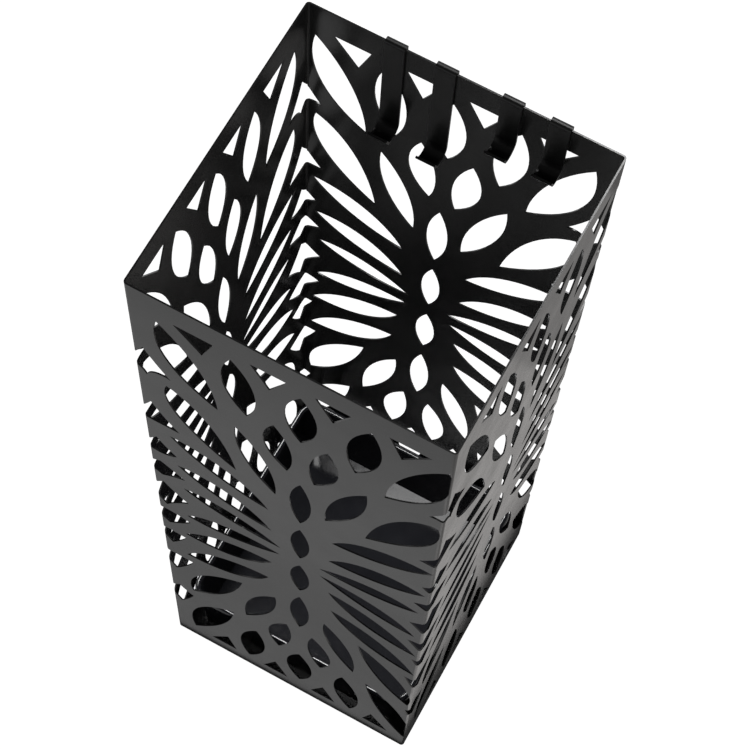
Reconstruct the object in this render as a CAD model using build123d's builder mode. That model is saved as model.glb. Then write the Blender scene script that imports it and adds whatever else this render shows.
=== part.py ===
"""Square umbrella stand: two folded, perforated steel halves, a floor plate, a loose drip tray,
four strip hooks over the back rim and four rubber feet.

Millimetres, +Z up. Origin on the floor under the middle of the stand; the front faces -Y.
"""
import os

from build123d import *

os.makedirs("parts", exist_ok=True)

# --- overall -------------------------------------------------------------------------------
width = 155.0               # outside, across the front and front to back
height = 490.0              # floor to the top rim
sheet = 0.8                 # steel sheet of the walls
bend_radius = 1.8           # outside radius of the folded corners
foot_gap = 1.5              # daylight between the floor and the lower rim

# --- leaf pattern --------------------------------------------------------------------------
# One wall carries a burst of leaf-shaped holes, mirrored about its own middle line. Across is
# measured from that line, heights from the floor.
leaf_fullness = 0.2         # how far the round part of a leaf's edge reaches along its chord
fold_loss = 0.7             # sheet length that the rounded fold saves on each wall

# The pattern sits a little differently on each wall, as the two halves were punched and folded:
# its middle line beside the wall's middle, and the stars' middle beside the corner at the
# wall's left end. Walls run anticlockwise seen from above.
wall_layout = {
    "front": {"shift": 6.4, "star_inset": 5.4},
    "right": {"shift": 6.9, "star_inset": 6.8},
    "back": {"shift": 3.4, "star_inset": 5.6},
    "left": {"shift": 4.2, "star_inset": 5.6},
}

# Leaves in pairs, left one given: (stem, tip, bow of the right-hand edge, bow of the left-hand
# edge, place of the widest point along the chord), hands as seen walking from stem to tip.
paired_leaves = [
    ((-69.5, 467), (-42.0, 401.5), 12.0, 6.2, 0.50),
    ((-33.5, 467.5), (-27.0, 412.5), 8.4, 7.8, 0.50),
    ((-13.5, 418.5), (-7.0, 370.5), 8.7, 5.5, 0.50),
    ((-68.5, 398), (-34.5, 335.5), 11.2, 8.2, 0.42),
    ((-33.5, 392), (-13.3, 330.5), 6.9, 6.2, 0.50),
    ((-70.5, 334), (-17.5, 303), 6.3, 9.0, 0.50),
    ((-68.5, 297.5), (-16.0, 274), 5.3, 9.8, 0.48),
    ((-66.5, 267), (-11.0, 254.3), 5.1, 7.0, 0.46),
    ((-66.5, 226), (-11.5, 243.7), 5.4, 7.5, 0.45),
    ((-69.0, 193.5), (-16.5, 223.5), 9.5, 7.5, 0.50),
    ((-70.0, 158), (-18.7, 195), 9.8, 8.2, 0.50),
    ((-35.5, 159), (-69.3, 93.5), 11.2, 7.0, 0.55),
    ((-15.0, 165), (-34.3, 101.5), 7.1, 6.3, 0.48),
    ((-8.0, 126), (-13.5, 74.5), 9.0, 5.2, 0.51),
    ((-42.7, 93), (-71.0, 20.5), 12.0, 5.7, 0.50),
    ((-28.0, 79.5), (-34.0, 20.5), 8.1, 7.8, 0.50),
]

# Upright leaves on the middle line: (top, bottom, half width).
middle_leaves = [
    (465, 414.5, 8.0),
    (361, 308, 5.8),
    (298, 254.5, 5.3),
    (243, 201, 5.6),
    (189.5, 134.5, 5.8),
    (79, 26, 8.3),
]

# Triangles along the plain bands, left ones given:
# (outer base corner, inner base corner, base height, point across, point height).
band_triangles = [
    (-61.0, -41.4, 473, -47.8, 455.7),
    (-24.2, -6.5, 473.5, -15.3, 456.2),
    (-59.8, -43.0, 16, -48.3, 34.2),
    (-24.2, -8.0, 16, -16.0, 35.8),
]

# Stars around the folded corners: (top, half width, height of the side points, bottom,
# bow of the upper sides, bow of the lower sides); a negative bow curves inwards.
corner_stars = [
    (430, 12.8, 407, 400, -0.6, -3.4),
    (368, 14.0, 344.5, 344.2, -0.8, 0.0),
    (323.5, 10.5, 309, 303.3, -0.6, 1.4),
    (291, 13.5, 280, 271.5, 0.4, -0.4),
    (262, 14.0, 246.5, 227.5, -0.8, -0.8),
    (219.5, 13.5, 216, 199, 0.8, 0.6),
    (187.5, 9.5, 186, 166.5, -0.3, 0.6),
    (148.2, 12.0, 147.8, 121.5, 0.0, 0.8),
    (91, 9.0, 82, 60, -0.8, 0.6),
]

# --- floor plate and feet --------------------------------------------------------------------
floor_height = 4.5          # underside of the floor plate
floor_sheet = 1.2
foot_diameter = 18.0
foot_spread = 122.0         # between feet, middle to middle
foot_rounding = 1.2

# --- drip tray -------------------------------------------------------------------------------
tray_top = 58.0             # rim height above the floor
tray_rim = 143.5            # outside of the rim
tray_mouth = 136.3          # opening
tray_corner = 8.0           # corner radius of the opening
tray_wall = 1.6
tray_draft = 3.0            # degrees that the sides lean outwards
rim_thickness = 2.4
rim_rounding = 2.0          # outer edge of the rim
mouth_rounding = 1.4        # inner edge of the rim
tray_floor_rounding = 3.0

# --- hooks -----------------------------------------------------------------------------------
hook_width = 10.0
hook_strip = 1.2
hook_play = 0.35            # clearance between the strip and the wall
hook_fold = 0.5             # inner radius of the folds over the rim
hook_outer_lip = 9.0        # length of the lip behind the wall
long_hook_drop = 69.0       # rim to the lowest point of the hook
short_hook_drop = 35.0
claw_radius = 4.6           # inner radius of the upturned claw
claw_sweep = 155.0          # degrees that the claw turns
claw_tip = 4.0              # straight end of the claw
hooks = {                   # name: (middle across the back, drop)
    "hook_long_left": (-33.5, long_hook_drop),
    "hook_long_right": (-8.7, long_hook_drop),
    "hook_short_left": (23.3, short_hook_drop),
    "hook_short_right": (46.4, short_hook_drop),
}

outside = width / 2
inside = outside - sheet


def bowed_edge(start, end, bow, widest=0.5):
    """Smooth edge that stands `bow` to the left of the straight line from start to end."""
    start = Vector(*start)
    end = Vector(*end)
    chord = end - start
    side = chord.rotate(Axis.Z, 90).normalized() * bow * 4 / 3
    middle = (widest - 0.125) / 0.75
    first = start + chord * (middle - leaf_fullness) + side
    second = start + chord * (middle + leaf_fullness) + side
    return Bezier(start, first, second, end)


def leaf(stem, tip, right_bow, left_bow, widest=0.5):
    """Leaf between two points; its edges bow to either hand of the line that joins them."""
    with BuildLine() as outline:
        bowed_edge(stem, tip, left_bow, widest)
        bowed_edge(tip, stem, right_bow, 1 - widest)
    make_face(outline.edges())


def star(middle, top, half, side_height, bottom, upper_bow, lower_bow):
    """Four-cornered hole around a folded corner."""
    left_point = (middle - half, side_height)
    right_point = (middle + half, side_height)
    with BuildLine() as outline:
        bowed_edge((middle, top), left_point, -upper_bow)
        bowed_edge(left_point, (middle, bottom), -lower_bow)
        bowed_edge((middle, bottom), right_point, -lower_bow)
        bowed_edge(right_point, (middle, top), -upper_bow)
    make_face(outline.edges())


def wall_holes(wall, next_wall):
    """Everything punched out of one wall, as it lies in the front wall's place, ended at the
    mitre planes of the corners."""
    outer_face = Plane(origin=(0, -outside, 0), x_dir=(1, 0, 0), z_dir=(0, -1, 0))
    shift = wall_layout[wall]["shift"]
    first_star = -outside + wall_layout[wall]["star_inset"]
    next_star = outside + wall_layout[next_wall]["star_inset"] - 2 * fold_loss
    with BuildPart() as holes:
        with BuildSketch(outer_face):
            for hand in (1, -1):
                for (x1, z1), (x2, z2), right_bow, left_bow, widest in paired_leaves:
                    stem = (shift + hand * x1, z1)
                    tip = (shift + hand * x2, z2)
                    leaf(stem, tip, hand * right_bow, hand * left_bow, widest)
                for outer, inner, base, point, point_height in band_triangles:
                    with BuildLine():
                        Polyline((shift + hand * outer, base), (shift + hand * inner, base),
                                 (shift + hand * point, point_height), close=True)
                    make_face()
            for top, bottom, half in middle_leaves:
                leaf((shift, top), (shift, bottom), half, half)
            for middle in (first_star, next_star):
                for shape in corner_stars:
                    star(middle, *shape)
        extrude(amount=-bend_radius - sheet)
        with BuildSketch():
            with BuildLine():
                Polyline((0, 0), (-width, -width), (width, -width), close=True)
            make_face()
        extrude(amount=height, mode=Mode.INTERSECT)
    return holes.part


front_holes = wall_holes("front", "right")
right_holes = wall_holes("right", "back").rotate(Axis.Z, 90)
back_holes = wall_holes("back", "left").rotate(Axis.Z, 180)
left_holes = wall_holes("left", "front").rotate(Axis.Z, 270)


def tube_half(hand):
    """Sketch of one L-shaped half: 1 keeps the front-right corner, -1 the back-left one."""
    RectangleRounded(width, width, bend_radius)
    RectangleRounded(width - 2 * sheet, width - 2 * sheet, bend_radius - sheet,
                     mode=Mode.SUBTRACT)
    with BuildLine() as corner_side:
        Polyline((-width, -width), (width, width), (hand * width, -hand * width), close=True)
    make_face(corner_side.edges(), mode=Mode.INTERSECT)


with BuildPart() as shell_front_right:
    with BuildSketch(Plane.XY.offset(foot_gap)):
        tube_half(1)
    extrude(amount=height - foot_gap)
    add(front_holes, mode=Mode.SUBTRACT)
    add(right_holes, mode=Mode.SUBTRACT)
shell_front_right.part.label = "shell_front_right"
export_step(shell_front_right.part, "parts/shell_front_right.step")

with BuildPart() as shell_back_left:
    with BuildSketch(Plane.XY.offset(foot_gap)):
        tube_half(-1)
    extrude(amount=height - foot_gap)
    add(back_holes, mode=Mode.SUBTRACT)
    add(left_holes, mode=Mode.SUBTRACT)
shell_back_left.part.label = "shell_back_left"
export_step(shell_back_left.part, "parts/shell_back_left.step")

with BuildPart() as base_plate:
    with BuildSketch(Plane.XY.offset(floor_height)):
        RectangleRounded(2 * inside, 2 * inside, bend_radius - sheet)
    extrude(amount=floor_sheet)
base_plate.part.label = "base_plate"
export_step(base_plate.part, "parts/base_plate.step")

# The tray stands on the floor plate; its sides lean outwards to a crowned rim.
tray_bottom = floor_height + floor_sheet
with BuildPart() as drip_tray:
    with BuildSketch(Plane.XY.offset(tray_top)):
        RectangleRounded(tray_mouth + 2 * tray_wall, tray_mouth + 2 * tray_wall,
                         tray_corner + tray_wall)
    extrude(amount=tray_bottom - tray_top, taper=tray_draft)
    fillet(drip_tray.faces().sort_by(Axis.Z)[0].edges(), tray_floor_rounding)
    with BuildSketch(Plane.XY.offset(tray_top - rim_thickness)):
        RectangleRounded(tray_rim, tray_rim, tray_corner + (tray_rim - tray_mouth) / 2)
    extrude(amount=rim_thickness)
    with BuildSketch(Plane.XY.offset(tray_top)):
        RectangleRounded(tray_mouth, tray_mouth, tray_corner)
    extrude(amount=tray_bottom + tray_wall - tray_top, taper=tray_draft, mode=Mode.SUBTRACT)
    rim_face = drip_tray.faces().filter_by(Axis.Z).sort_by(Axis.Z)[-1]
    fillet(rim_face.outer_wire().edges(), rim_rounding)
    rim_face = drip_tray.faces().filter_by(Axis.Z).sort_by(Axis.Z)[-1]
    fillet(rim_face.inner_wires()[0].edges(), mouth_rounding)
drip_tray.part.label = "drip_tray"
export_step(drip_tray.part, "parts/drip_tray.step")


def hook_strip_line(drop):
    """Wall side of a hook strip in the YZ plane, from the lip behind the wall to the claw."""
    behind = outside + hook_play
    front = inside - hook_play
    crown = height + hook_play
    claw_height = height - drop + hook_strip + claw_radius
    claw_outside = claw_radius + hook_strip
    Line((behind, height - hook_outer_lip), (behind, crown - hook_fold))
    RadiusArc((behind, crown - hook_fold), (behind - hook_fold, crown), -hook_fold)
    Line((behind - hook_fold, crown), (front + hook_fold, crown))
    RadiusArc((front + hook_fold, crown), (front, crown - hook_fold), -hook_fold)
    Line((front, crown - hook_fold), (front, claw_height))
    claw = CenterArc((front - claw_outside, claw_height), claw_outside, 0, -claw_sweep)
    Line(claw @ 1, claw @ 1 + (claw % 1) * claw_tip)


def hook(place, drop):
    with BuildPart() as strip:
        with BuildSketch(Plane.YZ.offset(place)):
            with BuildLine() as outline:
                hook_strip_line(drop)
                offset(amount=hook_strip, side=Side.RIGHT)
            make_face()
        extrude(amount=hook_width / 2, both=True)
    return strip.part


for name, (place, drop) in hooks.items():
    strip = hook(place, drop)
    strip.label = name
    export_step(strip, f"parts/{name}.step")


def foot(across, back):
    with BuildPart() as pad:
        with BuildSketch():
            with Locations((across * foot_spread / 2, back * foot_spread / 2)):
                Circle(foot_diameter / 2)
        extrude(amount=floor_height)
        fillet(pad.edges().sort_by(Axis.Z)[0], foot_rounding)
    return pad.part


feet = {
    "foot_front_left": (-1, -1),
    "foot_front_right": (1, -1),
    "foot_back_left": (-1, 1),
    "foot_back_right": (1, 1),
}
for name, (across, back) in feet.items():
    pad = foot(across, back)
    pad.label = name
    export_step(pad, f"parts/{name}.step")
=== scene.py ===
"""The looks of a square umbrella stand: powder-coated leaf-pattern steel, black plastic drip tray,
four bent hooks on the back rim and rubber feet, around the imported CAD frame. Metres, Z up."""

import math

import bpy
from mathutils import Matrix, Vector


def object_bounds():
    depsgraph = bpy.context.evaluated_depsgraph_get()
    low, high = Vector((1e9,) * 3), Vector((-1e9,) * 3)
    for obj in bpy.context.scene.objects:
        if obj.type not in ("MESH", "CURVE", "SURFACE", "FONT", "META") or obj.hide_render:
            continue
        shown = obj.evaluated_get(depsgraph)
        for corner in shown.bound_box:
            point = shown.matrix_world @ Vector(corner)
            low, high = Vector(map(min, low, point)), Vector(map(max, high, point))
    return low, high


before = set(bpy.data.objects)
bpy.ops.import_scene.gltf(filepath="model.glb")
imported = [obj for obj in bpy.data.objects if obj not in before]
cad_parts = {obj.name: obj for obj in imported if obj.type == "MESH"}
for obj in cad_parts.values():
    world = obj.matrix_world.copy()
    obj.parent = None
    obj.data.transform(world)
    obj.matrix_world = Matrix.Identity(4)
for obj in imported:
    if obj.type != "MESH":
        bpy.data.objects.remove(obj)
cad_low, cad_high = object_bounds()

MM = 0.001
WHITE = (1.0, 1.0, 1.0)
WARM = (1.0, 0.97, 0.95)
COOL = (0.82, 0.86, 1.0)

# ---------------------------------------------------------------- camera
CAMERA_PLACE = Vector((0.1759, -0.3832, 1.3195))
CAMERA_TARGET = Vector((-0.0101, 0.0319, 0.2450))
CAMERA_ROLL = math.radians(4.855)
CAMERA_LENS = 107.29        # mm
CAMERA_SENSOR = 36.0        # mm

# ---------------------------------------------------------------- stage
PAPER_RINGS = (0.5, 1.5, 3.0, 4.5)      # radii of the rings in the flat part of the floor
PAPER_CURVE = 1.5           # radius of the curve that ends it
PAPER_CURVE_STEPS = 8
PAPER_TOP = 6.0             # height of the upright edge
PAPER_SIDES = 64

# ---------------------------------------------------------------- light
# Brightness of the surroundings that the satin faces mirror, and the steepness (0 level, 1
# straight up) between which it changes.
SKY_LIGHT = 0.06            # from above
HORIZON_LIGHT = 0.65        # from the sides
PIT_LIGHT = 0.035           # from steeply below
SKY_FADE = (0.1, 0.7)
PIT_FADE = (-0.55, -0.15)

# Brightness of the lit boards that lie on the floor around the stand.
FRONT_FAR_LIGHT = 0.40      # in front, away from the wall
FRONT_BOARD_LIGHT = 0.47    # in front
FRONT_NEAR_LIGHT = 0.31     # in front, close to the wall
RIGHT_BOARD_LIGHT = 0.64    # on the right
RIGHT_BACK_LIGHT = 0.36     # on the right, towards the back
RIGHT_FAR_LIGHT = 0.32      # on the right, away from the wall
OUTER_BOARD_LIGHT = 0.70    # farther away, behind the stand and on its left
FRONT_GAP = 2 * MM          # between the front wall and the nearest board
RIGHT_GAP = 12 * MM         # between the right wall and the nearest board
BOARD_HALF = 0.60           # half the width of the boards in front and behind
BOARD_SPLIT = 0.15          # where the nearest boards meet the next ones
RIM_TARGET = (0, 0, 0.4)    # where the accent light for the rims points
TRAY_TARGET = (0, 0, 0.05)  # where those for the tray point


# ---------------------------------------------------------------- materials
def node(tree, kind, **values):
    """A new shader node, with its plain properties and its named inputs set."""
    made = tree.nodes.new(kind)
    for name, value in values.items():
        if hasattr(made, name):
            setattr(made, name, value)
        else:
            made.inputs[name.replace("_", " ")].default_value = value
    return made


def new_material(name):
    """An empty node material with a Principled shader: (material, tree, shader, coordinates)."""
    material = bpy.data.materials.new(name)
    material.use_nodes = True
    tree = material.node_tree
    tree.nodes.clear()
    output = node(tree, "ShaderNodeOutputMaterial")
    shader = node(tree, "ShaderNodeBsdfPrincipled")
    tree.links.new(shader.outputs["BSDF"], output.inputs["Surface"])
    place = node(tree, "ShaderNodeTexCoord")
    return material, tree, shader, place.outputs["Object"]


def noise(tree, place, size, detail=2.0, roughness=0.5):
    """Soft noise whose lumps are about size metres across."""
    made = node(tree, "ShaderNodeTexNoise", Scale=1.0 / size, Detail=detail, Roughness=roughness)
    tree.links.new(place, made.inputs["Vector"])
    return made.outputs["Fac"]


def map_range(tree, value, start, end, low, high, kind="LINEAR"):
    """Maps value from start..end to low..high, held at the ends."""
    made = node(
        tree, "ShaderNodeMapRange", interpolation_type=kind,
        From_Min=start, From_Max=end, To_Min=low, To_Max=high,
    )
    tree.links.new(value, made.inputs["Value"])
    return made.outputs["Result"]


def spread(tree, lumps, low=0.0, high=1.0):
    """Stretches the middle of a noise to low..high."""
    return map_range(tree, lumps, 0.3, 0.7, low, high)


def blend_colours(tree, value, dark, light):
    """A colour between dark and light by value."""
    made = node(tree, "ShaderNodeMix", data_type="RGBA")
    made.inputs["A"].default_value = (*dark, 1.0)
    made.inputs["B"].default_value = (*light, 1.0)
    tree.links.new(value, made.inputs["Factor"])
    return made.outputs["Result"]


def bump(tree, height, depth):
    """A normal from height, depth metres deep."""
    made = node(tree, "ShaderNodeBump", Strength=1.0, Distance=depth)
    tree.links.new(height, made.inputs["Height"])
    return made.outputs["Normal"]


def link_finish(tree, shader, colour, roughness, normal):
    """Links the three things that every finish varies."""
    tree.links.new(colour, shader.inputs["Base Color"])
    tree.links.new(roughness, shader.inputs["Roughness"])
    tree.links.new(normal, shader.inputs["Normal"])


def coated_steel(name, dark, light, rough_low, rough_high, specular, peel_depth):
    """Powder coat: fine orange peel, slow changes of gloss and a trace of tone."""
    material, tree, shader, place = new_material(name)
    tone = spread(tree, noise(tree, place, 60 * MM, detail=3.0))
    gloss = noise(tree, place, 25 * MM, detail=4.0, roughness=0.6)
    peel = noise(tree, place, 1.4 * MM, detail=2.0, roughness=0.55)
    link_finish(
        tree, shader, blend_colours(tree, tone, dark, light),
        spread(tree, gloss, rough_low, rough_high), bump(tree, peel, peel_depth),
    )
    shader.inputs["Specular IOR Level"].default_value = specular
    return material


def moulded_plastic(name, dark, light):
    """Glossy injection-moulded plastic with faint flow streaks and fine scuffs."""
    material, tree, shader, place = new_material(name)
    tone = spread(tree, noise(tree, place, 30 * MM, detail=3.0))
    scuffs = noise(tree, place, 6 * MM, detail=4.0, roughness=0.7)
    waves = noise(tree, place, 12 * MM, detail=2.0)
    link_finish(
        tree, shader, blend_colours(tree, tone, dark, light),
        spread(tree, scuffs, 0.08, 0.12), bump(tree, waves, 0.03 * MM),
    )
    return material


def moulded_rubber(name, dark, light):
    """Matt rubber with a fine grain and a dusty bloom."""
    material, tree, shader, place = new_material(name)
    bloom = spread(tree, noise(tree, place, 5 * MM, detail=5.0, roughness=0.65))
    grain = noise(tree, place, 0.5 * MM, detail=3.0, roughness=0.6)
    link_finish(
        tree, shader, blend_colours(tree, bloom, dark, light),
        spread(tree, grain, 0.62, 0.82), bump(tree, grain, 0.06 * MM),
    )
    return material


steel = coated_steel(
    "powder_coated_steel", (0.0080, 0.0080, 0.0080), (0.0120, 0.0120, 0.0118),
    rough_low=0.19, rough_high=0.25, specular=0.35, peel_depth=0.02 * MM,
)
strip = coated_steel(
    "hook_steel", (0.0045, 0.0045, 0.0047), (0.0080, 0.0080, 0.0082),
    rough_low=0.30, rough_high=0.40, specular=0.5, peel_depth=0.012 * MM,
)
plastic = moulded_plastic("tray_plastic", (0.0035, 0.0036, 0.0045), (0.0065, 0.0066, 0.0080))
rubber = moulded_rubber("foot_rubber", (0.010, 0.010, 0.010), (0.026, 0.026, 0.027))

# What each CAD node is made of, by the first word of its name.
finishes = {"shell": steel, "base": steel, "hook": strip, "drip": plastic, "foot": rubber}
for name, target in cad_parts.items():
    target.data.materials.clear()
    target.data.materials.append(finishes[name.split("_")[0]])


# ---------------------------------------------------------------- floor and backdrop
def paper_sweep(name):
    """Floor and backdrop as one round sheet that curves up far away."""
    flat = PAPER_RINGS[-1]
    profile = [(reach, 0.0) for reach in PAPER_RINGS]
    for step in range(1, PAPER_CURVE_STEPS + 1):
        turn = step / PAPER_CURVE_STEPS * math.pi / 2
        reach = flat + PAPER_CURVE * math.sin(turn)
        profile.append((reach, PAPER_CURVE * (1 - math.cos(turn))))
    profile.append((flat + PAPER_CURVE, PAPER_TOP))
    points = [(0.0, 0.0, cad_low[2])]
    for reach, rise in profile:
        for step in range(PAPER_SIDES):
            turn = step / PAPER_SIDES * 2 * math.pi
            points.append((reach * math.cos(turn), reach * math.sin(turn), cad_low[2] + rise))
    sides = [(k, (k + 1) % PAPER_SIDES) for k in range(PAPER_SIDES)]
    faces = [(0, 1 + k, 1 + after) for k, after in sides]
    for ring in range(len(profile) - 1):
        inner = 1 + ring * PAPER_SIDES
        outer = inner + PAPER_SIDES
        faces += [(inner + k, outer + k, outer + after, inner + after) for k, after in sides]
    mesh = bpy.data.meshes.new(name)
    mesh.from_pydata(points, [], faces)
    mesh.polygons.foreach_set("use_smooth", [True] * len(mesh.polygons))
    made = bpy.data.objects.new(name, mesh)
    bpy.context.scene.collection.objects.link(made)
    return made


def lit_paper(name):
    """Paper lit to plain white."""
    material, _, shader, _ = new_material(name)
    shader.inputs["Base Color"].default_value = (0.5, 0.5, 0.5, 1.0)
    shader.inputs["Roughness"].default_value = 1.0
    shader.inputs["Specular IOR Level"].default_value = 0.0
    shader.inputs["Emission Color"].default_value = (*WHITE, 1.0)
    shader.inputs["Emission Strength"].default_value = 1.0
    return material


floor = paper_sweep("studio_floor")
floor.data.materials.append(lit_paper("pale_paper"))
# Only the camera sees the paper, so that it neither lights the stand nor shows in its gloss.
floor.visible_diffuse = False
floor.visible_glossy = False
floor.visible_transmission = False
floor.visible_shadow = False


# ---------------------------------------------------------------- lights
def surroundings(name):
    """World light by direction: a bright horizon, a dim sky and a dark pit below."""
    world = bpy.data.worlds.new(name)
    world.use_nodes = True
    tree = world.node_tree
    split = node(tree, "ShaderNodeSeparateXYZ")
    tree.links.new(node(tree, "ShaderNodeTexCoord").outputs["Generated"], split.inputs["Vector"])
    upward = split.outputs["Z"]
    sky = map_range(tree, upward, *SKY_FADE, HORIZON_LIGHT, SKY_LIGHT, "SMOOTHSTEP")
    ground = map_range(tree, upward, *PIT_FADE, PIT_LIGHT, HORIZON_LIGHT, "SMOOTHSTEP")
    darker = node(tree, "ShaderNodeMath", operation="MINIMUM")
    tree.links.new(sky, darker.inputs[0])
    tree.links.new(ground, darker.inputs[1])
    background = tree.nodes["Background"]
    background.inputs["Color"].default_value = (*WHITE, 1.0)
    tree.links.new(darker.outputs["Value"], background.inputs["Strength"])
    return world


def softbox(name, place, target, width, height, brightness, colour=WHITE):
    """A soft rectangular studio light aimed at target, of that brightness all over its face."""
    lamp = bpy.data.lights.new(name, "AREA")
    lamp.shape = "RECTANGLE"
    lamp.size = width
    lamp.size_y = height
    lamp.energy = brightness * math.pi * width * height
    lamp.color = colour
    made = bpy.data.objects.new(name, lamp)
    made.location = place
    made.rotation_euler = (Vector(target) - Vector(place)).to_track_quat("-Z", "Y").to_euler()
    made.visible_camera = False
    bpy.context.scene.collection.objects.link(made)
    return made


def lit_board(name, low, high, brightness, colour=WHITE):
    """A lit board lying on the floor from corner low to corner high, facing up."""
    middle = ((low[0] + high[0]) / 2, (low[1] + high[1]) / 2, cad_low[2])
    above = (middle[0], middle[1], 1.0)
    return softbox(name, middle, above, high[0] - low[0], high[1] - low[1], brightness, colour)


def accent(name, starts, lamps):
    """Lets lamps fall only on the CAD nodes whose names start so, shaded only by each other."""
    group = bpy.data.collections.new(name)
    for member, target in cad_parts.items():
        if member.startswith(starts):
            group.objects.link(target)
    for lamp in lamps:
        lamp.light_linking.receiver_collection = group
        lamp.light_linking.blocker_collection = group


bpy.context.scene.world = surroundings("studio")

accent("rim_lit", ("shell", "hook"), [
    softbox("rim_softbox", (-0.04, 1.00, 2.1), RIM_TARGET, 0.32, 0.32, 28.0),
])
accent("tray_lit", "drip_tray", [
    softbox("tray_front_softbox", (-0.15, -0.11, 1.3), TRAY_TARGET, 0.60, 0.24, 20.0),
    softbox("tray_left_softbox", (-0.86, 0.42, 1.2), TRAY_TARGET, 0.80, 0.45, 18.0),
    softbox("tray_back_softbox", (-0.3, 1.60, 1.6), TRAY_TARGET, 1.20, 0.60, 1.0),
    softbox("tray_sky", (-0.4, 0.75, 2.6), TRAY_TARGET, 1.60, 1.60, 0.12, COOL),
])

near_front = cad_low[1] - FRONT_GAP
near_right = cad_high[0] + RIGHT_GAP
lit_board("front_far_board", (-BOARD_HALF, -0.70), (BOARD_HALF, -0.25), FRONT_FAR_LIGHT)
lit_board("front_board", (-BOARD_HALF, -0.25), (BOARD_HALF, -BOARD_SPLIT), FRONT_BOARD_LIGHT)
lit_board(
    "front_near_board", (-BOARD_HALF, -BOARD_SPLIT), (BOARD_HALF, near_front), FRONT_NEAR_LIGHT
)
lit_board("right_board", (near_right, -0.30), (BOARD_SPLIT, 0.18), RIGHT_BOARD_LIGHT, WARM)
lit_board("right_back_board", (near_right, 0.18), (BOARD_SPLIT, 0.32), RIGHT_BACK_LIGHT, WARM)
lit_board("right_far_board", (BOARD_SPLIT, -0.30), (BOARD_HALF, 0.50), RIGHT_FAR_LIGHT, WARM)
lit_board("back_board", (-BOARD_HALF, 0.38), (BOARD_HALF, 1.20), OUTER_BOARD_LIGHT)
lit_board("left_board", (-1.20, -0.30), (-0.30, 0.40), OUTER_BOARD_LIGHT)

# ---------------------------------------------------------------- camera in place
camera_data = bpy.data.cameras.new("camera")
camera_data.lens = CAMERA_LENS
camera_data.sensor_width = CAMERA_SENSOR
camera = bpy.data.objects.new("camera", camera_data)
aim = (CAMERA_TARGET - CAMERA_PLACE).to_track_quat("-Z", "Y").to_matrix()
camera.matrix_world = (
    Matrix.Translation(CAMERA_PLACE) @ aim.to_4x4() @ Matrix.Rotation(CAMERA_ROLL, 4, "Z")
)
bpy.context.scene.collection.objects.link(camera)
bpy.context.scene.camera = camera

bpy.context.scene.view_settings.view_transform = "Standard"
bpy.context.scene.view_settings.look = "None"
